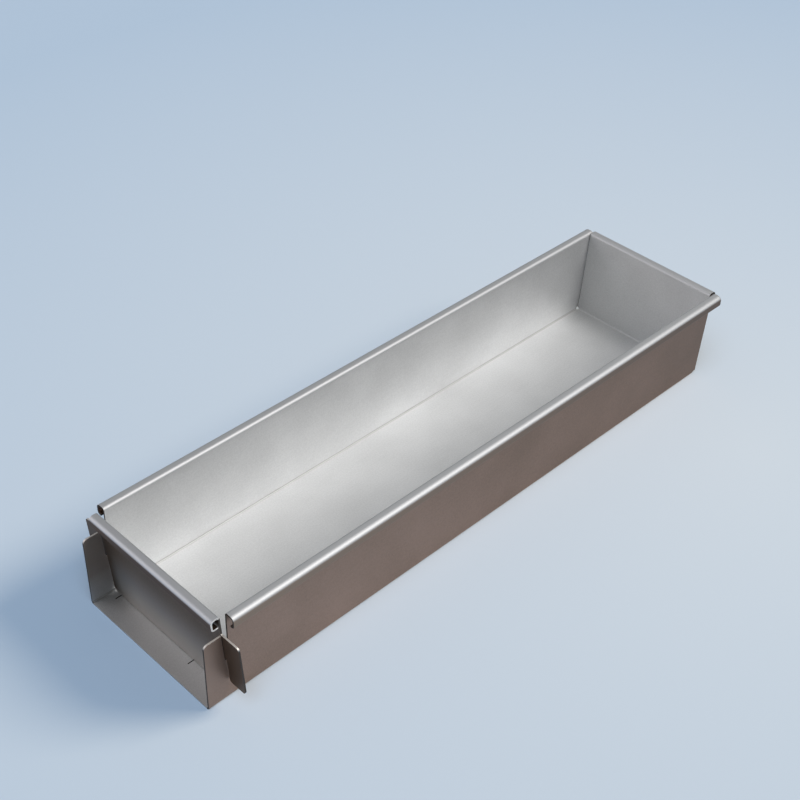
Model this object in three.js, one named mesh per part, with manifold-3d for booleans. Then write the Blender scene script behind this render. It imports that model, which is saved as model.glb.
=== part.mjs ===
// Long tiramisu mould: a pan folded from one aluminium sheet, and an end gate that lifts out of it.
// Millimetres, +Z up. The pan lies along Y with its gate at the -Y end, and the origin is under
// the middle of the whole mould, on the surface that it stands on.
import * as THREE from 'three';
import { mergeVertices } from 'three/addons/utils/BufferGeometryUtils.js';
import Module from 'manifold-3d';

// The sheet and the pan
const sheet = 1;               // thickness of both pieces
const panWidth = 100;          // over the two long walls
const panLength = 404.8;       // floor, from its near lip to the corner under the far wall
const rimHeight = 60;          // top of every rolled rim above the ground
const floorBend = 1;           // inside radius where the floor turns up
const endDraft = 4.1;          // degrees that the far wall and the gate lean outwards
const cornerSeam = 0.35;       // open seam between the far wall and each long wall
const cornerRelief = 1.6;      // radius of the hole where three bends meet
const rimOverhang = 6.2;       // that the long walls' rims run past the floor's far corner

// The rolled rim of the pan's three walls, in section
const rimWidth = 6.6;
const rimDrop = 7.4;           // from its top to the underside of its lip
const rimShoulder = 2;         // outside radius of the first turn, off the wall
const rimCrown = 3;            // outside radius of the second turn, down again
const rimHem = 2;              // outside radius of the last turn, back to the wall
const rimLip = 0.8;            // straight end of the sheet after that turn

// The near end of the pan
const lipDepth = 14.3;         // floor in front of the gate
const earHeight = 46.6;        // the walls' low ends, on either side of that lip
const earRadius = 2.5;
const slotFloor = 28.3;        // bottom of the slots that the gate hangs in
const slotRadius = 0.4;        // rounding at the bottom of a slot
const slotPlay = 0.35;         // between an ear and the gate's face
const slotRear = 0.45;         // from the gate's foot to where the walls' full height begins
const slitLength = 4.9;        // short cuts in the floor, across the line of the gate's foot
const slitAhead = 3.7;         // part of a cut that shows in front of the gate
const slitWidth = 0.6;
const slitPlaceShares = [0.39, -0.858];  // of half the pan's width

// The gate
const gateSeat = 0.3;          // between its foot and the floor
const gateInset = 0.5;         // of its plate and rim from the pan's full width, over the slots
const footPlay = 0.6;          // between its plate and the long walls' inner faces
const footRadius = 2.2;
const notchPlay = 0.9;         // between a long wall's outer face and the wing
const notchRise = 1.5;         // from the bottom of a slot to the top of the notch over it
const roundShare = 0.8;        // most that a corner's rounding may take of half a width
const wingWidth = 11.8;
const wingRise = 0.4;          // of a wing's top above the ears
const wingBottom = 12;
const wingRadius = 2;
const gateRimWidth = 5.8;
const gateRimDrop = 7.6;
const gateRimCrown = 2.5;
const gateLip = 2.1;

// Modelling
const facetsPerTurn = 48;      // straight facets in a full circle
const overrun = 5;             // that a cutting solid reaches past what it cuts

const wasm = await Module();
wasm.setup();

const draft = THREE.MathUtils.degToRad(endDraft);
const quarter = Math.PI / 2;
const halfWidth = panWidth / 2;
const bendOutside = floorBend + sheet;
const wallStart = lipDepth + slotRear;

// Solids

function solidFrom(geometry) {
  const bare = geometry.clone();
  bare.deleteAttribute('normal');
  bare.deleteAttribute('uv');
  const merged = mergeVertices(bare);
  return new wasm.Manifold(new wasm.Mesh({
    numProp: 3,
    vertProperties: new Float32Array(merged.attributes.position.array),
    triVerts: new Uint32Array(merged.index.array),
  }));
}

function meshFrom(solid, name, material) {
  const { vertProperties, triVerts } = solid.getMesh();
  const geometry = new THREE.BufferGeometry();
  geometry.setAttribute('position', new THREE.BufferAttribute(new Float32Array(vertProperties), 3));
  geometry.setIndex(new THREE.BufferAttribute(new Uint32Array(triVerts), 1));
  geometry.computeVertexNormals();
  const mesh = new THREE.Mesh(geometry, material);
  mesh.name = name;
  return mesh;
}

// An outline drawn in (X, Z), carried along Y from one place to another.
function alongY(shape, from, to) {
  const geometry = new THREE.ExtrudeGeometry(shape, { depth: to - from, bevelEnabled: false });
  geometry.rotateX(quarter);
  geometry.translate(0, to, 0);
  return solidFrom(geometry);
}

// An outline drawn in (Y, Z), carried along X from one place to another.
function alongX(shape, from, to) {
  const geometry = new THREE.ExtrudeGeometry(shape, { depth: to - from, bevelEnabled: false });
  geometry.rotateX(quarter);
  geometry.rotateZ(quarter);
  geometry.translate(from, 0, 0);
  return solidFrom(geometry);
}

// Outlines

// The sheet is followed along its middle, as a bender works it: each move runs straight on or
// turns through an angle, with the radius on the middle of the sheet. It gives both faces.
function followSheet(start, heading, moves) {
  const at = start.clone();
  let angle = heading;
  const left = [];
  const right = [];
  const mark = () => {
    const side = new THREE.Vector2(-Math.sin(angle), Math.cos(angle)).multiplyScalar(sheet / 2);
    left.push(at.clone().add(side));
    right.push(at.clone().sub(side));
  };
  mark();
  for (const { run = 0, turn = 0, radius = 0 } of moves) {
    const steps = Math.max(1, Math.round(Math.abs(turn) / (2 * Math.PI) * facetsPerTurn));
    const lever = new THREE.Vector2(-Math.sin(angle), Math.cos(angle));
    const centre = at.clone().addScaledVector(lever, Math.sign(turn) * radius);
    for (let step = 0; step < steps; step += 1) {
      if (turn) {
        at.sub(centre).rotateAround(new THREE.Vector2(), turn / steps).add(centre);
        angle += turn / steps;
      } else {
        at.add(new THREE.Vector2(Math.cos(angle), Math.sin(angle)).multiplyScalar(run));
      }
      mark();
    }
  }
  return { left, right };
}

function stripShape({ left, right }) {
  return new THREE.Shape([...left, ...right.toReversed()]);
}

// A strip that starts on the middle plane, with its mirror image joined to it.
function mirroredShape({ left, right }) {
  const whole = (points) => {
    const others = points.slice(1).map((point) => new THREE.Vector2(-point.x, point.y));
    return [...others.reverse(), ...points];
  };
  return stripShape({ left: whole(left), right: whole(right) });
}

// A polygon whose corners may be rounded: each corner is [across, up, radius].
function roundedShape(corners) {
  const points = corners.map(([across, up]) => new THREE.Vector2(across, up));
  const path = [];
  corners.forEach(([, , radius = 0], index) => {
    const here = points[index];
    if (!radius) {
      path.push(here);
      return;
    }
    const before = points[(index + points.length - 1) % points.length].clone().sub(here).normalize();
    const after = points[(index + 1) % points.length].clone().sub(here).normalize();
    const half = Math.acos(before.dot(after)) / 2;
    const middle = before.clone().add(after).normalize();
    const centre = here.clone().addScaledVector(middle, radius / Math.sin(half));
    const first = here.clone().addScaledVector(before, radius / Math.tan(half)).sub(centre);
    const turn = Math.PI - 2 * half;
    const way = Math.sign(before.cross(after)) || 1;
    const steps = Math.max(2, Math.round(turn / (2 * Math.PI) * facetsPerTurn));
    for (let step = 0; step <= steps; step += 1) {
      const spoke = first.clone().rotateAround(new THREE.Vector2(), -way * turn * step / steps);
      path.push(spoke.add(centre));
    }
  });
  return new THREE.Shape(path);
}

// A wall that turns up from the floor, leans outwards and ends in the rolled rim.
function wallMoves(lean) {
  const rise = quarter - lean;
  const bendMiddle = floorBend + sheet / 2;
  const shoulderMiddle = rimShoulder - sheet / 2;
  const turned = (bendMiddle + shoulderMiddle) * Math.cos(rise);
  const straight = (rimHeight - rimShoulder - bendOutside + turned) / Math.sin(rise);
  return [
    { turn: rise, radius: bendMiddle },
    { run: straight },
    ...rimMoves(-1, rimWidth, rimDrop, rimCrown, rimLip),
  ];
}

// The rolled rim itself, turning to the right (-1) or to the left (1) of the wall.
function rimMoves(way, width, drop, crown, lip) {
  return [
    { turn: way * quarter, radius: rimShoulder - sheet / 2 },
    { run: width - rimShoulder - crown },
    { turn: way * quarter, radius: crown - sheet / 2 },
    { run: drop - crown - rimHem },
    { turn: way * quarter, radius: rimHem - sheet / 2 },
    { run: lip },
  ];
}

// The distance from a corner at which its bend begins.
function bendTake(lean) {
  return bendOutside * Math.tan((quarter - lean) / 2);
}

// Where the gate's outer face is at a height, and the far wall's outer face.
const gateFace = (height) => lipDepth - (height - sheet - gateSeat) * Math.tan(draft);
const farFace = (height) => panLength + height * Math.tan(draft);

// The pan

function troughSection(moves) {
  const floorRun = halfWidth - bendTake(0);
  return mirroredShape(followSheet(new THREE.Vector2(0, sheet / 2), 0, [{ run: floorRun }, ...moves]));
}

function longWalls() {
  const rimEnd = panLength + rimOverhang;
  const trough = alongY(troughSection(wallMoves(0)), wallStart, rimEnd);
  const underRim = rimHeight - rimDrop;
  const pastFarWall = new THREE.Shape([
    new THREE.Vector2(farFace(bendOutside), bendOutside),
    new THREE.Vector2(farFace(underRim), underRim),
    new THREE.Vector2(rimEnd + overrun, underRim),
    new THREE.Vector2(rimEnd + overrun, -overrun),
    new THREE.Vector2(panLength - bendTake(draft), -overrun),
    new THREE.Vector2(panLength - bendTake(draft), bendOutside),
  ]);
  return trough.subtract(alongX(pastFarWall, -panWidth, panWidth));
}

// The low ends of the long walls, with the floor lip between them and the slots behind them.
function nearEnd() {
  const section = troughSection([
    { turn: quarter, radius: floorBend + sheet / 2 },
    { run: earHeight - bendOutside },
  ]);
  const earBack = (height) => gateFace(height) - slotPlay / Math.cos(draft);
  const side = roundedShape([
    [0, -overrun],
    [0, earHeight, earRadius],
    [earBack(earHeight), earHeight],
    [earBack(slotFloor), slotFloor, slotRadius],
    [wallStart + overrun, slotFloor],
    [wallStart + overrun, -overrun],
  ]);
  return alongY(section, 0, wallStart + overrun).intersect(alongX(side, -panWidth, panWidth));
}

const farStart = panLength - bendTake(draft);
const farStrip = followSheet(
  new THREE.Vector2(farStart - overrun, sheet / 2), 0, [{ run: overrun }, ...wallMoves(draft)]);

function farWall() {
  const reach = halfWidth - sheet - cornerSeam;
  return alongX(stripShape(farStrip), -reach, reach);
}

function reliefHole(side) {
  const hole = new THREE.CylinderGeometry(
    cornerRelief, cornerRelief, bendOutside + cornerRelief + overrun, facetsPerTurn);
  hole.rotateX(quarter);
  hole.translate(
    side * (halfWidth - sheet), panLength - sheet, (bendOutside + cornerRelief - overrun) / 2);
  return solidFrom(hole);
}

function floorSlit(place) {
  const slit = new THREE.BoxGeometry(slitWidth, slitLength, sheet + 2 * overrun);
  slit.translate(place, lipDepth - slitAhead + slitLength / 2, sheet / 2);
  return solidFrom(slit);
}

function pan() {
  let folded = longWalls().add(nearEnd()).add(farWall());
  for (const side of [-1, 1]) {
    folded = folded.subtract(reliefHole(side));
  }
  for (const share of slitPlaceShares) {
    folded = folded.subtract(floorSlit(share * halfWidth));
  }
  return folded;
}

// The gate, drawn upright with its outer face on Y = 0 and its foot on Z = 0

// The height along the leaning plate of a level above the ground.
const upPlate = (height) => (height - sheet - gateSeat) / Math.cos(draft);

const notchInner = halfWidth - sheet - footPlay;
const notchOuter = halfWidth + notchPlay;
const wingReach = notchOuter + wingWidth;

function gateOutline() {
  const gateReach = halfWidth - gateInset;
  const notchTop = upPlate(slotFloor + notchRise);
  const notchRadius = (notchOuter - notchInner) / 2 * roundShare;
  const wingTop = upPlate(earHeight + wingRise);
  const wingFoot = upPlate(wingBottom);
  const wingRound = Math.min(wingRadius, wingWidth / 2 * roundShare);
  const rightSide = [
    [notchInner, 0, footRadius],
    [notchInner, notchTop, notchRadius],
    [notchOuter, notchTop, notchRadius],
    [notchOuter, wingFoot, wingRound],
    [wingReach, wingFoot, wingRound],
    [wingReach, wingTop, wingRound],
    [gateReach, wingTop, slotRadius],
    [gateReach, upPlate(rimHeight) + overrun],
  ];
  const leftSide = rightSide.map(([across, up, radius]) => [-across, up, radius]).reverse();
  return roundedShape([...rightSide, ...leftSide]);
}

function gate() {
  const tilted = (rimShoulder - sheet) * Math.sin(draft);
  const centreRise = (rimHeight - rimShoulder - sheet - gateSeat + tilted) / Math.cos(draft);
  const strip = followSheet(new THREE.Vector2(sheet / 2, 0), quarter, [
    { run: centreRise },
    ...rimMoves(1, gateRimWidth, gateRimDrop, gateRimCrown, gateLip),
  ]);
  const plate = alongX(stripShape(strip), -wingReach - overrun, wingReach + overrun);
  return plate.intersect(alongY(gateOutline(), -gateRimWidth - overrun, sheet + overrun));
}

// The mould

const panSatin = new THREE.MeshStandardMaterial({ color: 0xb4b5b8, roughness: 0.42, metalness: 1 });
const gateSatin = new THREE.MeshStandardMaterial({ color: 0xa9a9ac, roughness: 0.38, metalness: 1 });

const mouldLength = Math.max(...farStrip.left.map((point) => point.x));

const panMesh = meshFrom(pan(), 'pan', panSatin);

const gateMesh = meshFrom(gate(), 'gate', gateSatin);
gateMesh.position.set(0, lipDepth, sheet + gateSeat);
gateMesh.rotation.x = draft;

const mould = new THREE.Group();
mould.name = 'tiramisu_mould';
mould.position.y = -mouldLength / 2;
mould.add(panMesh, gateMesh);

export default mould;
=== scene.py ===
import math

import bmesh
import bpy
import numpy as np
from mathutils import Matrix, Vector


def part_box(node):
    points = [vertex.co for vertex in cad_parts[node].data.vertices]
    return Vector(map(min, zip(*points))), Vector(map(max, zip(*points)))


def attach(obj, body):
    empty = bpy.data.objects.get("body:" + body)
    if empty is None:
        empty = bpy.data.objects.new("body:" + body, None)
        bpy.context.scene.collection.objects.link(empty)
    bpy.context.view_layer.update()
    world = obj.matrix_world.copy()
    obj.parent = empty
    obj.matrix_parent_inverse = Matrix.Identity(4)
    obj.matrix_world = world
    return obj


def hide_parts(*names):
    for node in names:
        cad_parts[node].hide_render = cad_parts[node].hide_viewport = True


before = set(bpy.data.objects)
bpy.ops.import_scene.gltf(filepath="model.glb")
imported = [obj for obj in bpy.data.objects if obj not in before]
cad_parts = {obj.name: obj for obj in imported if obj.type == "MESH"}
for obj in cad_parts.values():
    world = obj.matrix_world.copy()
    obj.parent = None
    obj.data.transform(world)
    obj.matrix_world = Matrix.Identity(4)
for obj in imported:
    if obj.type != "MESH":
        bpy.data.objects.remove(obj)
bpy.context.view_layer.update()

panLow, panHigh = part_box("pan")
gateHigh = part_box("gate")[1]
mm = 0.001
hair = 0.001                 # millimetres, within which two places count as one
quarter = math.pi / 2        # of a full turn


# A fade from 0 to 1 between two places: share x share x (3 - 2 x share).
def fade(places, first, last):
    share = np.clip((places - first) / (last - first), 0, 1)
    return share * share * (3 - 2 * share)


# The means of neighbours along the first axis, for the quads between rows of points.
def middles(values):
    return (values[:-1] + values[1:]) / 2


# A new object in the scene, at the origin and unturned.
def addObject(name, data):
    thing = bpy.data.objects.new(name, data)
    bpy.context.scene.collection.objects.link(thing)
    return thing


# The sheet that both pieces are cut from

sheetMetal = {
    "thickness": 1.0,
    "floorBend": 1.0,        # inside radius where the floor turns up
    "draft": 4.1,            # by which the far wall and the gate lean outwards
    "shoulder": 2.0,         # outside radius of a rim's first turn
    "hem": 2.0,              # outside radius of a rim's last turn
    "rimShadeBlend": (-0.5, 1.0),  # past a rim's start, where its darker painted tone begins and is full
    "edgeRound": 0.14,       # of the deburred cut edges
    "edgeSegments": 2,
    "edgeAngle": 50.0,       # from which an edge counts as cut
    "turnFacets": 14,        # in a quarter turn of the sheet
    "cornerFacets": 8,       # in a quarter turn of its outline
}
thickness = sheetMetal["thickness"]
lean = math.radians(sheetMetal["draft"])

# Where a rounded corner of the outline has its points: radius x sin of equal angles.
arc = np.sin(np.linspace(0, quarter, sheetMetal["cornerFacets"] + 1))


# How far such a corner draws in at a depth past its start, which is
# radius - root(radius squared - depth squared).
def drawIn(radius, depth):
    depth = np.clip(depth, 0, radius)
    return radius - np.sqrt(radius ** 2 - depth ** 2)


# The middle of a bent sheet in section. A run goes straight on to its stops, and a turn is
# centre + radius x (cos, sin). It gives the points and the flat length up to each of them.
def bendSheet(start, heading, moves):
    points, flat = [np.array([start], float)], [np.zeros(1)]
    for move in moves:
        here, gone = points[-1][-1], flat[-1][-1]
        if "turn" in move:
            turn, radius = move["turn"], move["radius"]
            facets = round(abs(turn) / quarter * sheetMetal["turnFacets"])
            angles = np.linspace(0, turn, facets + 1)[1:]
            lever = heading + math.copysign(quarter, turn)
            centre = here + radius * np.array([math.cos(lever), math.sin(lever)])
            spokes = lever + math.pi + angles
            points.append(centre + radius * np.column_stack([np.cos(spokes), np.sin(spokes)]))
            flat.append(gone + radius * np.abs(angles))
            heading += turn
        else:
            stops = np.array(move["stops"], float)
            points.append(here + np.outer(stops, [math.cos(heading), math.sin(heading)]))
            flat.append(gone + stops)
    return np.vstack(points), np.concatenate(flat)


# The rolled rim as a bender's moves: three quarter turns, and straight stretches after them.
def rimMoves(way, rim):
    half = thickness / 2
    return [
        {"turn": way * quarter, "radius": sheetMetal["shoulder"] - half},
        {"stops": [rim["width"] - sheetMetal["shoulder"] - rim["crown"]]},
        {"turn": way * quarter, "radius": rim["crown"] - half},
        {"stops": [rim["drop"] - rim["crown"] - sheetMetal["hem"]]},
        {"turn": way * quarter, "radius": sheetMetal["hem"] - half},
        {"stops": [rim["lip"]]},
    ]


# How a rim's painted tones run over it, by the flat length past the start of its shoulder: its darker
# painted tone starts from there on, and the painted shade of its underside comes in between two shares
# of the turn over its crown.
def rimPaintedTones(past, rim):
    half = thickness / 2
    flatTop = rim["width"] - sheetMetal["shoulder"] - rim["crown"]
    crownStart = (sheetMetal["shoulder"] - half) * quarter + flatTop
    crownRun = (rim["crown"] - half) * quarter
    return {
        "rimShadeAndBurnish": fade(past, *sheetMetal["rimShadeBlend"]),
        "paintedShade": fade(past, *(crownStart + np.array(rim["shadeShares"]) * crownRun)),
    }


# Rows of points in the bands between neighbouring edges, each edge an array along the section.
# A row is edge + share x (next edge - edge), and a band's quads are kept where its test holds.
def bandRows(edges, bands):
    shares, kept = zip(*bands)
    band = np.repeat(np.arange(len(bands)), [len(part) for part in shares])
    share = np.concatenate(shares)[:, None]
    rows = edges[band] + share * (edges[band + 1] - edges[band])
    return rows, np.stack(kept)[band[:-1]]


# Rows and columns of points made into quads, of which only those to keep are used.
def gridFaces(shape, keep):
    numbers = np.arange(shape[0] * shape[1]).reshape(shape)
    corners = [numbers[:-1, :-1], numbers[:-1, 1:], numbers[1:, 1:], numbers[1:, :-1]]
    return np.stack(corners, axis=-1)[keep]


# The middle of a sheet as one welded mesh. A patch of it is (points, keep, painted tones), and the
# painted tones of shade, highlight and reflection go on the points as attributes for the materials.
def sheetMesh(name, patches):
    points, quads, paintedTones = [], [], {"rimShadeAndBurnish": [], "paintedShade": [], "paintedBendAndFoot": [], "edgeHighlight": []}
    offset = 0
    for grid, keep, tones in patches:
        points.append(grid.reshape(-1, 3) * mm)
        quads.append(gridFaces(grid.shape[:2], keep) + offset)
        for tone in paintedTones:
            paintedTones[tone].append(np.broadcast_to(tones.get(tone, 0.0), grid.shape[:2]).ravel())
        offset += grid.shape[0] * grid.shape[1]
    used, quads = np.unique(np.vstack(quads), return_inverse=True)
    mesh = bpy.data.meshes.new(name)
    mesh.from_pydata(np.vstack(points)[used], [], quads.reshape(-1, 4))
    for tone, values in paintedTones.items():
        attribute = mesh.attributes.new(tone, "FLOAT", "POINT")
        attribute.data.foreach_set("value", np.concatenate(values)[used].astype(np.float32))
    welded = bmesh.new()
    welded.from_mesh(mesh)
    bmesh.ops.remove_doubles(welded, verts=welded.verts, dist=hair * mm)
    welded.to_mesh(mesh)
    welded.free()
    mesh.shade_smooth()
    return mesh


# One piece: its sheet gets its thickness to both sides, and its cut edges are rounded. The sides
# hold the materials of its inner face, its outer face and its cut edges.
def sheetPiece(name, node, patches, sides):
    outerSlot, edgeSlot = 1, 2
    piece = addObject(name, sheetMesh(name, patches))
    for material in sides:
        piece.data.materials.append(material)
    wall = piece.modifiers.new("wall", "SOLIDIFY")
    wall.thickness = thickness * mm
    wall.offset = 0
    wall.material_offset = outerSlot
    wall.material_offset_rim = edgeSlot
    edge = piece.modifiers.new("edge", "BEVEL")
    edge.width = sheetMetal["edgeRound"] * mm
    edge.segments = sheetMetal["edgeSegments"]
    edge.limit_method = "ANGLE"
    edge.angle_limit = math.radians(sheetMetal["edgeAngle"])
    edge.material = edgeSlot
    piece.modifiers.new("flats", "WEIGHTED_NORMAL")
    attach(piece, node)
    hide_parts(node)
    return piece


# The pan

panShape = {
    "length": 404.8,         # floor, from its near lip to the corner under the far wall
    "rimOverhang": 6.2,      # of the long walls' rims past that corner
    "seam": 0.35,            # open seam at the far corners
    "relief": 1.6,           # radius of the hole where three bends meet
    "lipDepth": 14.3,        # floor in front of the gate
    "wallStart": 14.75,      # where the long walls' full height begins
    "earHeight": 46.6,
    "earRound": 2.5,
    "slotFloor": 28.3,
    "slotRound": 0.4,
    "slotPlay": 0.35,        # between an ear and the gate's face
    "gateSeat": 0.3,         # between the gate's foot and the floor
    "slitLength": 4.9,
    "slitAhead": 3.7,        # part of a slit in front of the gate
    "slitWidth": 0.6,
    "slitShares": (0.39, -0.858),  # of half the pan's width
    # Painted shade on a rim's underside comes in between two shares of its crown's turn; the ears in
    # front of the gate get painted shade that grows up them.
    "rim": {"width": 6.6, "drop": 7.4, "crown": 3.0, "lip": 0.8, "shadeShares": (0.55, 0.9)},
    "earShade": 0.84,
    "earShadeHeight": 24.0,   # up an ear, from which its painted shade is full
    "bendShadeBlend": (-0.5, 0.2),  # past a bend's start and its end, where its painted crease tone comes and goes
    "lipHighlight": 0.5,        # painted highlight on the floor's near edge
    "floorLines": (6, 12, 18, 24, 30, 36),  # of the grid, across from the middle
    "wallLines": (12, 20, 36),  # of the grid, up a long wall
    "lipShares": (0, 0.2, 0.4, 0.6),  # of the grid, along an ear or the lip
    "lengthFacets": 26,      # of the grid, from the gate to the far wall
    "farWallShares": (0.2, 0.4, 0.6, 0.8, 1),  # of the grid, up the far wall
}
bendOutside = sheetMetal["floorBend"] + thickness
bendMiddle = sheetMetal["floorBend"] + thickness / 2
rimHeight = panHigh.z / mm
underRim = rimHeight - panShape["rim"]["drop"]
shoulderStart = rimHeight - sheetMetal["shoulder"]
earTurn = panShape["earHeight"] - panShape["earRound"]  # height where an ear's corner starts
halfWidth = panHigh.x / mm - panShape["rim"]["width"] + thickness
floorHalf = halfWidth - bendOutside
bendEnd = floorHalf + bendMiddle * quarter      # flat length up to where a long wall is upright
holeAcross = halfWidth - thickness              # middle of a relief hole, on the flat sheet
holeAlong = panShape["length"] - thickness
holeTop = holeAcross + panShape["relief"] - bendEnd + bendOutside  # as a height
farStart = panShape["length"] - bendOutside * math.tan((quarter - lean) / 2)  # of the far bend
foldHalf = holeAcross - math.sqrt(panShape["relief"] ** 2 - (holeAlong - farStart) ** 2)
slits = halfWidth * np.array(panShape["slitShares"])


# Everything along Y is counted from the floor's near edge; this takes it to the frame's own Y.
def fromNearEdge(across, along, up):
    return np.stack(np.broadcast_arrays(across, along + panLow.y / mm, up), axis=-1)


# The gate's outer face at a height: it leans towards the near side by tan(draft).
def gateFace(height):
    return panShape["lipDepth"] - (height - thickness - panShape["gateSeat"]) * math.tan(lean)


# The far wall's outer face, and the long walls' far edge, at a height.
def farFace(height):
    return panShape["length"] + height * math.tan(lean)


# The section across the floor and the long walls, from one rim's lip to the other's. One half is
# bent from the middle outwards, and its mirror image is set before it.
def troughSection():
    slitEdges = np.abs(slits)[:, None] + panShape["slitWidth"] * np.array([-0.5, 0.5])
    floorStops = [*panShape["floorLines"], *slitEdges.ravel(), foldHalf, floorHalf]
    wallStops = [
        *panShape["wallLines"],
        *(bendOutside + (holeTop - bendOutside) * arc[2::2]),
        *(panShape["slotFloor"] + panShape["slotRound"] * (1 - arc[::2])),
        *(earTurn + panShape["earRound"] * arc),
        underRim,
        shoulderStart,
    ]
    side, flat = bendSheet((0, thickness / 2), 0, [
        {"stops": np.unique(floorStops)},
        {"turn": quarter, "radius": bendMiddle},
        {"stops": np.unique(wallStops) - bendOutside},
        *rimMoves(-1, panShape["rim"]),
    ])
    across = np.concatenate([-side[:0:-1, 0], side[:, 0]])
    up = np.concatenate([side[:0:-1, 1], side[:, 1]])
    return across, up, np.concatenate([flat[:0:-1], flat])


# The long walls and the floor: their section, carried along Y. Seven edges run through it, each a
# function of the height up the flat sheet, and the rows of the grid lie in the bands between them.
def troughPatch():
    shape = panShape
    across, up, flat = troughSection()
    height = flat - bendEnd + bendOutside
    slotHeight = np.clip(height, shape["slotFloor"], shape["earHeight"])
    slotCorner = drawIn(shape["slotRound"], shape["slotFloor"] + shape["slotRound"] - slotHeight)
    play = shape["slotPlay"] / math.cos(lean)
    slotLine = gateFace(slotHeight) - play + slotCorner
    gateLine = np.maximum(gateFace(np.clip(height, 0, shape["slotFloor"])) - play, slotLine)
    onHole = np.clip(flat - holeAcross, foldHalf - holeAcross, shape["relief"])
    edges = np.stack([
        drawIn(shape["earRound"], height - earTurn),  # near edge of the lip and the ears
        slotLine,  # far edge of the ears, above the bottom of the slots
        gateLine,  # where the gate's face stands, below that
        np.full_like(flat, shape["wallStart"]),
        holeAlong - np.sqrt(shape["relief"] ** 2 - onHole ** 2),  # up to the relief holes
        farFace(np.clip(height, 0, underRim)),  # far edge of the walls
        np.full_like(flat, shape["length"] + shape["rimOverhang"]),  # and of their rims
    ])

    slitStart = shape["lipDepth"] - shape["slitAhead"]
    slitEnd = slitStart + shape["slitLength"]
    slitFirst = slitStart / slotLine.max()
    slitLast = (slitEnd - shape["wallStart"]) / (farStart - shape["wallStart"])
    level = middles(height)
    along, keep = bandRows(edges, [
        ((*shape["lipShares"], slitFirst), level < shape["earHeight"]),  # the lip and the ears
        ((0,), level < shape["slotFloor"]),
        ((0,), level < shape["slotFloor"]),
        ((0, *np.linspace(slitLast, 1, shape["lengthFacets"])[:-1]), level < np.inf),
        ((0, 0.5), level > holeTop),  # the walls over the relief holes
        ((0, 0.5, 1), level > underRim),  # the rims past the walls
    ])
    midAlong = middles(along)[:, :-1]
    onSlitLength = (midAlong > slitStart) & (midAlong < slitEnd)
    fromSlit = np.abs(middles(across)[:, None] - slits).min(axis=1)
    keep &= ~(onSlitLength & (fromSlit < shape["slitWidth"] / 2) & (level < 0))

    # The rims' darker painted tone and the painted shade on their undersides, then painted shade up the
    # ears in front of the gate.
    paintedTones = rimPaintedTones(height - shoulderStart, shape["rim"])
    inFront = along < gateLine + hair
    onEar = shape["earShade"] * inFront * fade(height, 0, shape["earShadeHeight"])
    # Painted highlights on the cut edges of the floor's near lip and the ears' tops.
    onLipEdge = shape["lipHighlight"] * (along < hair) * (height < 0)
    onEarTop = inFront * fade(height, earTurn, shape["earHeight"])
    blend = shape["bendShadeBlend"]
    paintedTones["paintedShade"] = np.maximum(paintedTones["paintedShade"], onEar)
    paintedTones["edgeHighlight"] = np.maximum(onLipEdge, onEarTop)
    # A painted tone along the floor's bends: painted crease shade on the inside, a little lighter
    # outside.
    paintedTones["paintedBendAndFoot"] = fade(height, *blend) - fade(height - bendOutside, *blend)
    foldColumns = across[np.abs(across) < foldHalf + hair]
    return (fromNearEdge(across, along, up), keep, paintedTones), foldColumns


# The far wall: its own section, carried along X. Its sides follow the relief holes,
# x = hole's middle - root(radius squared - distance squared), and then the open seams. Its
# straight run is (height between its two bends) / sin(rise).
def farWallPatch(foldColumns):
    relief, seam = panShape["relief"], panShape["seam"]
    rise = quarter - lean
    turned = (bendMiddle + sheetMetal["shoulder"] - thickness / 2) * math.cos(rise)
    run = (shoulderStart - bendOutside + turned) / math.sin(rise)
    bendLength = bendMiddle * rise
    holeMiddle = holeAlong - farStart
    holeEnd = holeMiddle + math.sqrt(relief ** 2 - seam ** 2) - bendLength
    side, flat = bendSheet((farStart, thickness / 2), 0, [
        {"turn": rise, "radius": bendMiddle},
        {"stops": [holeEnd / 2, holeEnd, *np.array(panShape["farWallShares"]) * run]},
        *rimMoves(-1, panShape["rim"]),
    ])
    gap = np.sqrt(np.clip(relief ** 2 - (flat - holeMiddle) ** 2, seam ** 2, None))
    across = (holeAcross - gap)[:, None] * foldColumns / foldColumns[-1]
    keep = np.ones((len(flat) - 1, len(foldColumns) - 1), bool)
    paintedTones = rimPaintedTones((flat - bendLength - run)[:, None], panShape["rim"])
    return fromNearEdge(across, side[:, :1], side[:, 1:]), keep, paintedTones


# The gate

gateShape = {
    "inset": 0.5,            # of its plate and rim from the pan's full width, above the wings
    "footPlay": 0.6,         # between its plate and the long walls' inner faces
    "footRound": 2.2,
    "notchPlay": 0.9,        # between a long wall's outer face and the wing
    "notchRise": 1.5,        # from the bottom of a slot to the top of the notch over it
    "notchRound": 1.0,
    "wingRise": 0.4,         # of a wing's top above the ears
    "wingBottom": 12.0,
    "wingRound": 2.0,
    "innerRound": 0.4,       # where a wing's top meets the plate
    # Painted shade on the rim's underside comes in between two shares of its crown's turn.
    "rim": {"width": 5.8, "drop": 7.6, "crown": 2.5, "lip": 2.1, "shadeShares": (0.62, 0.98)},
    "footSheenHeight": 42.0,      # up to which the plate carries a painted reflection, brightest at its foot
    "plateLines": (6, 18, 24, 34, 39, 50),  # of the grid, up the plate
    "plateFacets": 12,       # of the grid, across the plate
    "wingShares": (0, 0.3, 0.7),  # of the grid, across a wing
}


# A height over the worktop as a place up the leaning plate.
def upPlate(height):
    return (height - thickness - panShape["gateSeat"]) / math.cos(lean)


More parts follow.
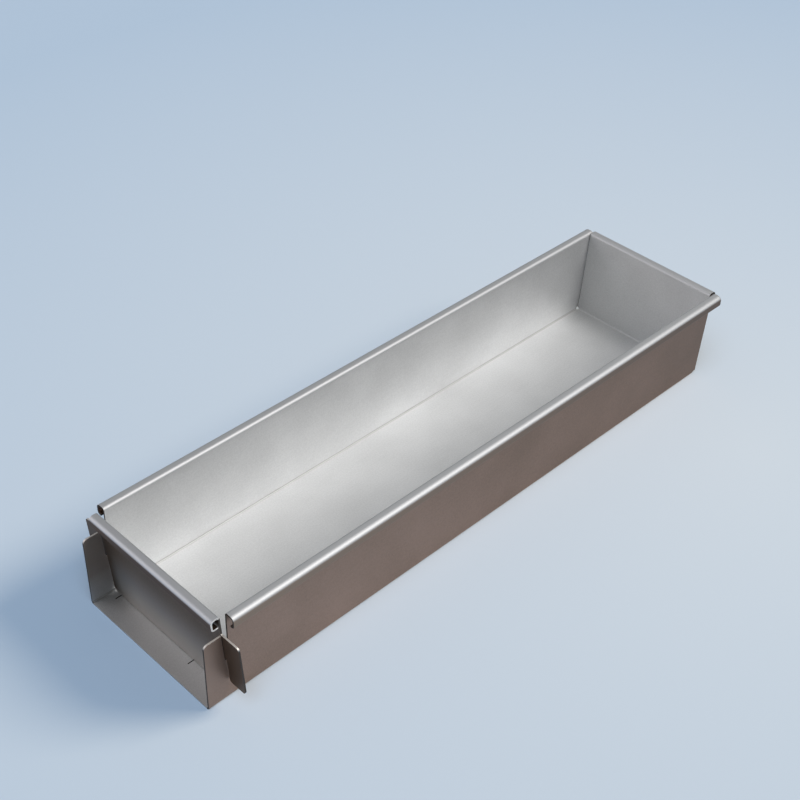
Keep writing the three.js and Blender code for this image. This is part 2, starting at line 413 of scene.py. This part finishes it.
# Drawn upright, with its outer face on Y = 0 and its foot on Z = 0, as columns up the flat sheet,
# and then leant. Three edges run up each half of it, each a function of the height: the plate's
# side, and the wing's two. Over the notch the plate's side is only a line of the grid, and draws
# in a little.
def gatePatch():
    shape, rim = gateShape, gateShape["rim"]
    plateHalf = halfWidth - thickness - shape["footPlay"]
    notchOuter = halfWidth + shape["notchPlay"]
    notchTop = upPlate(panShape["slotFloor"] + shape["notchRise"])
    wingTop = upPlate(panShape["earHeight"] + shape["wingRise"])
    wingFoot = upPlate(shape["wingBottom"])
    lowered = (sheetMetal["shoulder"] - thickness) * math.sin(lean)  # the rim, by the lean
    plateTop = upPlate(shoulderStart + lowered)
    stops = np.unique([
        *shape["plateLines"],
        *(shape["footRound"] * (1 - arc[:-1])),
        *(wingFoot + shape["wingRound"] * (1 - arc)),
        *(notchTop - shape["notchRound"] * (1 - arc)),
        *(wingTop - shape["wingRound"] * (1 - arc)),
        *(wingTop + shape["innerRound"] * (1 - arc[::2])),
        plateTop,
    ])
    side, flat = bendSheet((thickness / 2, 0), quarter, [{"stops": stops}, *rimMoves(1, rim)])

    footSide = plateHalf - drawIn(shape["footRound"], shape["footRound"] - flat)
    notchDraw = drawIn(shape["notchRound"], np.minimum(flat, notchTop) - notchTop + shape["notchRound"])
    lowDraw = drawIn(shape["wingRound"], wingFoot + shape["wingRound"] - flat)
    highDraw = drawIn(shape["wingRound"], np.minimum(flat, wingTop) - wingTop + shape["wingRound"])
    innerDraw = drawIn(shape["innerRound"], wingTop + shape["innerRound"] - flat)
    inwards = (shape["notchRound"] + shape["footRound"]) * fade(flat, notchTop, wingTop)
    plateSide = footSide + notchDraw - inwards
    overWing = halfWidth - shape["inset"] + innerDraw
    wingInner = np.where(flat < wingTop, notchOuter - notchDraw + lowDraw, overWing)
    wingOuter = gateHigh.x / mm - lowDraw - highDraw
    edges = np.stack([-wingOuter, -wingInner, -plateSide, plateSide, wingInner, wingOuter])

    level = middles(flat)
    onWing = (level > wingFoot) & (level < wingTop)
    columns, kept = bandRows(edges, [
        (shape["wingShares"], onWing),
        ((0,), level > notchTop),
        (np.linspace(0, 1, shape["plateFacets"], endpoint=False), level < np.inf),
        ((0,), level > notchTop),
        ((*shape["wingShares"], 1), onWing),
    ])
    across = columns.T
    inward, upward = side[:, :1], side[:, 1:]
    along = panShape["lipDepth"] + inward * math.cos(lean) - upward * math.sin(lean)
    up = thickness + panShape["gateSeat"] + inward * math.sin(lean) + upward * math.cos(lean)

    flat = flat[:, None]
    # The rim's darker painted tone and the painted shade on its underside.
    paintedTones = rimPaintedTones(flat - plateTop, rim)
    upToWing = flat < wingTop + shape["innerRound"]
    onWingTop = fade(flat, wingTop - shape["wingRound"], wingTop) * upToWing
    onRimStart = fade(flat, plateTop, plateTop + thickness)
    # Painted shade on the wings.
    paintedTones["paintedShade"] = np.maximum(paintedTones["paintedShade"], np.abs(across) > halfWidth)
    # Painted highlights on the cut edges of the wings' tops and where the rim starts.
    paintedTones["edgeHighlight"] = np.maximum(onWingTop, onRimStart)
    # A painted reflection up the plate, brightest at its foot.
    paintedTones["paintedBendAndFoot"] = (1 - fade(flat, 0, shape["footSheenHeight"])) * (np.abs(across) < plateHalf)
    return fromNearEdge(-across, along, up), kept.T, paintedTones


# Finishes

# An sRGB hex colour as linear light.
def linear(hexColour):
    parts = np.array([int(hexColour[place:place + 2], 16) for place in (1, 3, 5)]) / 255
    return (*np.where(parts <= 0.04045, parts / 12.92, ((parts + 0.055) / 1.055) ** 2.4), 1.0)


# One node with its settings. An input is a value, or another node's output to link.
def addNode(tree, kind, inputs=None, **settings):
    node = tree.nodes.new(kind)
    for setting, value in settings.items():
        setattr(node, setting, value)
    for socket, value in (inputs or {}).items():
        if isinstance(value, bpy.types.NodeSocket):
            tree.links.new(value, node.inputs[socket])
        else:
            node.inputs[socket].default_value = value
    return node


# A Mix node's colour sockets, which go by number because they share their names with others.
mixFirst, mixSecond, mixResult = 6, 7, 2


# A material without nodes, and its tree.
def emptyMaterial(name):
    material = bpy.data.materials.new(name)
    material.use_nodes = True
    material.node_tree.nodes.clear()
    return material, material.node_tree


satinFinish = {
    "grainSize": 0.45,       # of the etched surface's pits; drawn about five times as coarse as real
    "grainHeight": 0.004,    # of their relief
    "streakLength": 30.0,    # of the mill's rolling marks, which run along the sheet
    "streakWidth": 0.5,
    "streakShare": 0.3,      # of their tone, next to the pits'
    "blotchSize": 45.0,      # of the faint uneven tone
    "markRange": (0.85, 1.45),  # of the three patterns' sum, from the low tone to the high one
}

# The tones of each side: low and high for the plain sheet, which is multiplied by far at the far
# end, painted shade that darkens the pan's outside towards it; then a tone for painted crease shade
# along the bends and a painted reflection at the gate's foot, a darker painted tone for the rims, and
# two, near and far, for painted shade under the rims, on the ears and on the wings. The outsides are
# painted dark and warm as painted shade and reflection. The roughness is the plain sheet's and the
# rims'.
panTones = {
    "inside": {
        "low": "#d8d9da", "high": "#e7e8e9", "far": "#ffffff", "paintedBendAndFootTone": "#c3c3c3", "rim": "#d0d1d3",
        "under": ("#9f8e80", "#786b63"), "roughness": (0.62, 0.62)},
    # The outside is painted dark and warm, as painted shade and reflection on the outer faces, and
    # darker towards the far end.
    "outside": {
        "low": "#988274", "high": "#ab9284", "far": "#cdcdcd", "paintedBendAndFootTone": "#a18b7e", "rim": "#988274",
        "under": ("#a18b7e", "#a18b7e"), "roughness": (0.5, 0.5)},
}
gateTones = {
    "inside": {
        "low": "#d8d9da", "high": "#e7e8e9", "far": "#ffffff", "paintedBendAndFootTone": "#e0e1e2", "rim": "#cbcccf",
        "under": ("#6d5b50", "#6d5b50"), "roughness": (0.62, 0.6)},
    # The gate's outside is painted darker still, as painted shade and reflection on its face.
    "outside": {
        "low": "#6a584a", "high": "#7d6958", "far": "#ffffff", "paintedBendAndFootTone": "#b3aea9", "rim": "#6a584a",
        "under": ("#675649", "#675649"), "roughness": (0.5, 0.5)},
}


# Satin aluminium sheet, milled and then etched and clear anodised: a broad soft sheen, fine
# grain and faint rolling marks. Over it go painted tones: a darker tone on the rolled rims (on the
# gate's inside also a little smoother), painted shade on their undersides, the ears and the wings,
# and painted crease shade and a painted reflection at the bends and the gate's foot.
def satinMaterial(name, tones):
    material, tree = emptyMaterial(name)
    metre = 1 / mm
    place = addNode(tree, "ShaderNodeTexCoord").outputs["Object"]
    # A cell of the grain's noise is as wide as two pits.
    grain = addNode(tree, "ShaderNodeTexNoise", {
        "Vector": place, "Scale": metre / (2 * satinFinish["grainSize"]),
        "Detail": 3.0, "Roughness": 0.6}).outputs["Fac"]
    across = metre / satinFinish["streakWidth"]
    stretched = addNode(tree, "ShaderNodeMapping", {
        "Vector": place, "Scale": (across, metre / satinFinish["streakLength"], across)})
    streak = addNode(tree, "ShaderNodeTexNoise", {
        "Vector": stretched.outputs["Vector"], "Scale": 1.0,
        "Detail": 2.0, "Roughness": 0.5}).outputs["Fac"]
    blotch = addNode(tree, "ShaderNodeTexNoise", {
        "Vector": place, "Scale": metre / satinFinish["blotchSize"],
        "Detail": 2.0, "Roughness": 0.5}).outputs["Fac"]

    grainAndStreak = addNode(tree, "ShaderNodeMath", {
        0: streak, 1: satinFinish["streakShare"], 2: grain}, operation="MULTIPLY_ADD")
    marks = addNode(tree, "ShaderNodeMath", {
        0: grainAndStreak.outputs["Value"], 1: blotch}, operation="ADD")
    markShare = addNode(tree, "ShaderNodeMapRange", {
        "Value": marks.outputs["Value"],
        "From Min": satinFinish["markRange"][0], "From Max": satinFinish["markRange"][1]})
    along = addNode(tree, "ShaderNodeSeparateXYZ", {"Vector": place}).outputs["Y"]
    farShare = addNode(tree, "ShaderNodeMapRange", {
        "Value": along, "From Min": panLow.y, "From Max": panHigh.y}).outputs["Result"]

    marked = addNode(tree, "ShaderNodeMix", {
        "Factor": markShare.outputs["Result"],
        mixFirst: linear(tones["low"]), mixSecond: linear(tones["high"])}, data_type="RGBA")
    colour = addNode(tree, "ShaderNodeMix", {
        "Factor": farShare, mixFirst: marked.outputs[mixResult], mixSecond: linear(tones["far"])},
        data_type="RGBA", blend_type="MULTIPLY").outputs[mixResult]
    # The painted shade colour, darker towards the far end.
    under = addNode(tree, "ShaderNodeMix", {
        "Factor": farShare, mixFirst: linear(tones["under"][0]), mixSecond: linear(tones["under"][1])},
        data_type="RGBA").outputs[mixResult]
    # Layered over it: painted crease shade and foot reflection, the rims' darker painted tone, and
    # painted shade.
    layers = {"paintedBendAndFoot": linear(tones["paintedBendAndFootTone"]), "rimShadeAndBurnish": linear(tones["rim"]), "paintedShade": under}
    for attribute, tone in layers.items():
        share = addNode(tree, "ShaderNodeAttribute", attribute_name=attribute).outputs["Fac"]
        colour = addNode(tree, "ShaderNodeMix", {
            "Factor": share, mixFirst: colour, mixSecond: tone}, data_type="RGBA").outputs[mixResult]

    # A roughness that is the same all over stays a plain value.
    roughness, rimRoughness = tones["roughness"]
    if rimRoughness != roughness:
        rimShadeAndBurnish = addNode(tree, "ShaderNodeAttribute", attribute_name="rimShadeAndBurnish").outputs["Fac"]
        roughness = addNode(tree, "ShaderNodeMapRange", {
            "Value": rimShadeAndBurnish, "To Min": roughness, "To Max": rimRoughness}).outputs["Result"]
    bump = addNode(tree, "ShaderNodeBump", {
        "Height": grain, "Distance": satinFinish["grainHeight"] * mm, "Strength": 1.0})
    shader = addNode(tree, "ShaderNodeBsdfPrincipled", {
        "Base Color": colour, "Metallic": 1.0, "Roughness": roughness,
        "Normal": bump.outputs["Normal"]})
    addNode(tree, "ShaderNodeOutputMaterial", {"Surface": shader.outputs["BSDF"]})
    return material


shearedFinish = {
    # Its low and high tones are dark: painted shade on the standing cut edges.
    "low": "#4a4440",
    "high": "#5d5651",
    "highlightTone": "#f0ebe6",
    "roughness": 0.6,
    "scoreSize": 0.35,       # of the shear's fine score marks
    "scoreRange": (0.35, 0.65),  # of their pattern, from the low tone to the high one
}


# Sheared aluminium: the bare cut edge of the sheet, painted dark as painted shade where it stands,
# with a painted highlight on the ears', wings' and lip's edges and where the gate's rim starts.
def shearedMaterial():
    material, tree = emptyMaterial("sheared_aluminium")
    place = addNode(tree, "ShaderNodeTexCoord").outputs["Object"]
    score = addNode(tree, "ShaderNodeTexNoise", {
        "Vector": place, "Scale": 1 / (shearedFinish["scoreSize"] * mm), "Detail": 2.0})
    scoreShare = addNode(tree, "ShaderNodeMapRange", {
        "Value": score.outputs["Fac"],
        "From Min": shearedFinish["scoreRange"][0], "From Max": shearedFinish["scoreRange"][1]})
    plain = addNode(tree, "ShaderNodeMix", {
        "Factor": scoreShare.outputs["Result"], mixFirst: linear(shearedFinish["low"]),
        mixSecond: linear(shearedFinish["high"])}, data_type="RGBA")
    edgeHighlight = addNode(tree, "ShaderNodeAttribute", attribute_name="edgeHighlight").outputs["Fac"]
    colour = addNode(tree, "ShaderNodeMix", {
        "Factor": edgeHighlight, mixFirst: plain.outputs[mixResult],
        mixSecond: linear(shearedFinish["highlightTone"])}, data_type="RGBA")
    shader = addNode(tree, "ShaderNodeBsdfPrincipled", {
        "Base Color": colour.outputs[mixResult], "Metallic": 1.0,
        "Roughness": shearedFinish["roughness"]})
    addNode(tree, "ShaderNodeOutputMaterial", {"Surface": shader.outputs["BSDF"]})
    return material


sheared = shearedMaterial()
panSides = [satinMaterial("satin_aluminium_pan_" + side, tones) for side, tones in panTones.items()]
gateSides = [satinMaterial("satin_aluminium_gate_" + side, tones) for side, tones in gateTones.items()]
print("finishes made")

trough, foldColumns = troughPatch()
pan = sheetPiece("pan_sheet", "pan", [trough, farWallPatch(foldColumns)], [*panSides, sheared])
print("pan made:", len(pan.data.polygons), "faces in the flat sheet")
gate = sheetPiece("gate_sheet", "gate", [gatePatch()], [*gateSides, sheared])
print("gate made:", len(gate.data.polygons), "faces in the flat sheet")


# The studio

# Its sizes are in metres.
studio = {
    "floorFlat": 10.0,       # from the middle, where it starts to rise
    "floorReach": 30.0,      # from the middle to its edges
    "floorRise": 1.5,        # at that reach, so that it stands over the horizon
    "floorLines": 49,        # of its grid, each way
    "floorColours": ("#d2dce5", "#b2c6db"),
    "lightPoolMiddle": (0.12, 0.16, 0.0),  # middle of the painted pool of light, where it is palest
    "lightPoolReach": 0.75,       # from there to where the painted pool of light has faded to the second colour
    "floorRoughness": 0.9,
    "worldColour": "#f8fdff",
    "worldStrength": 0.2,
    "lampDistance": 2.4,
    # azimuth from +X towards +Y and elevation in degrees, width and height, watts, colour
    "lamps": {
        "key": (22, 50, 1.05, 1.05, 41.3, "#fffcf8"),
        "frontLow": (236, 16, 1.95, 1.05, 9.4, "#fff4f0"),
        "frontHigh": (225, 38, 1.65, 1.2, 7.8, "#f4f6ff"),
        "backHigh": (110, 60, 1.65, 1.65, 4.1, "#ffffff"),
    },
    # azimuth, elevation and width in degrees, watts a square metre, colour
    "floorLights": {
        "floorSun": (56, 36, 24, 2.38, "#ffeace"),
        "floorSky": (-47, 62, 45, 1.72, "#d4e8ff"),
    },
}


# Matt paper: no gloss, and a pale tint with a painted pool of light: palest at one place, and darker
# away from it.
def paperMaterial():
    material, tree = emptyMaterial("matt_paper_floor")
    place = addNode(tree, "ShaderNodeTexCoord").outputs["Object"]
    distance = addNode(tree, "ShaderNodeVectorMath", {
        0: place, 1: studio["lightPoolMiddle"]}, operation="DISTANCE")
    share = addNode(tree, "ShaderNodeMapRange", {
        "Value": distance.outputs["Value"], "From Max": studio["lightPoolReach"]})
    colour = addNode(tree, "ShaderNodeMix", {
        "Factor": share.outputs["Result"], mixFirst: linear(studio["floorColours"][0]),
        mixSecond: linear(studio["floorColours"][1])}, data_type="RGBA")
    shader = addNode(tree, "ShaderNodeBsdfPrincipled", {
        "Base Color": colour.outputs[mixResult], "Roughness": studio["floorRoughness"]})
    addNode(tree, "ShaderNodeOutputMaterial", {"Surface": shader.outputs["BSDF"]})
    return material


# Flat round the mould, and further out its height is rise x (share of the way outwards) squared.
def makeFloor():
    flatTo, reach = studio["floorFlat"], studio["floorReach"]
    lines = np.linspace(-reach, reach, studio["floorLines"])
    across, along = np.meshgrid(lines, lines)
    outwardShare = np.clip((np.hypot(across, along) - flatTo) / (reach - flatTo), 0, None)
    grid = np.stack([across, along, studio["floorRise"] * outwardShare ** 2], axis=-1)
    everyQuad = np.ones((len(lines) - 1, len(lines) - 1), bool)
    mesh = bpy.data.meshes.new("floor")
    mesh.from_pydata(grid.reshape(-1, 3), [], gridFaces(across.shape, everyQuad))
    mesh.shade_smooth()
    mesh.materials.append(paperMaterial())
    floor = addObject("floor", mesh)
    return floor


# A light that faces the origin from this azimuth and elevation, and lights only these objects.
def placeLight(light, azimuth, elevation, colour, lit):
    turn, rise = math.radians(azimuth), math.radians(elevation)
    outwards = Vector((math.cos(turn) * math.cos(rise), math.sin(turn) * math.cos(rise), math.sin(rise)))
    light.color = linear(colour)[:3]
    lamp = addObject(light.name, light)
    lamp.location = outwards * studio["lampDistance"]
    lamp.rotation_euler = outwards.to_track_quat("Z", "Y").to_euler()
    lamp.light_linking.receiver_collection = bpy.data.collections.new("lit_by_" + light.name)
    for thing in lit:
        lamp.light_linking.receiver_collection.objects.link(thing)


# The lamps light the mould, and the floor has a low soft sun and a sky of its own.
def makeLights(floor):
    for name, (azimuth, elevation, width, height, power, colour) in studio["lamps"].items():
        lamp = bpy.data.lights.new(name, "AREA")
        lamp.shape = "RECTANGLE"
        lamp.size = width
        lamp.size_y = height
        lamp.energy = power
        placeLight(lamp, azimuth, elevation, colour, [pan, gate])
    for name, (azimuth, elevation, width, power, colour) in studio["floorLights"].items():
        sun = bpy.data.lights.new(name, "SUN")
        sun.angle = math.radians(width)
        sun.energy = power
        placeLight(sun, azimuth, elevation, colour, [floor])


def makeWorld():
    world = bpy.data.worlds.new("studio")
    world.use_nodes = True
    background = world.node_tree.nodes["Background"]
    background.inputs["Color"].default_value = linear(studio["worldColour"])
    background.inputs["Strength"].default_value = studio["worldStrength"]
    bpy.context.scene.world = world


makeLights(makeFloor())
makeWorld()


# The camera, at the photograph's angle

camera = {
    "place": (0.43075, -0.46882, 0.5672),  # metres
    "yaw": -44.262,          # from +Y towards +X
    "pitch": 38.835,         # below the horizon
    "roll": 1.808,
    "lens": 64.03,           # mm, on a 36 mm sensor
}


# Right, up and back are worked out from the yaw and the pitch, and the roll turns the first two.
def makeCamera():
    yaw, pitch, roll = (math.radians(camera[part]) for part in ("yaw", "pitch", "roll"))
    ahead = Vector((math.sin(yaw), math.cos(yaw), 0))
    forward = ahead * math.cos(pitch) + Vector((0, 0, -math.sin(pitch)))
    level = Vector((math.cos(yaw), -math.sin(yaw), 0))
    right = level * math.cos(roll) + level.cross(forward) * math.sin(roll)
    turned = Matrix((right, right.cross(forward), -forward)).transposed().to_4x4()
    data = bpy.data.cameras.new("camera")
    data.lens = camera["lens"]
    viewer = addObject("camera", data)
    viewer.matrix_world = Matrix.Translation(camera["place"]) @ turned
    bpy.context.scene.camera = viewer


makeCamera()
bpy.context.scene.view_settings.view_transform = "Standard"
print("studio and camera made")
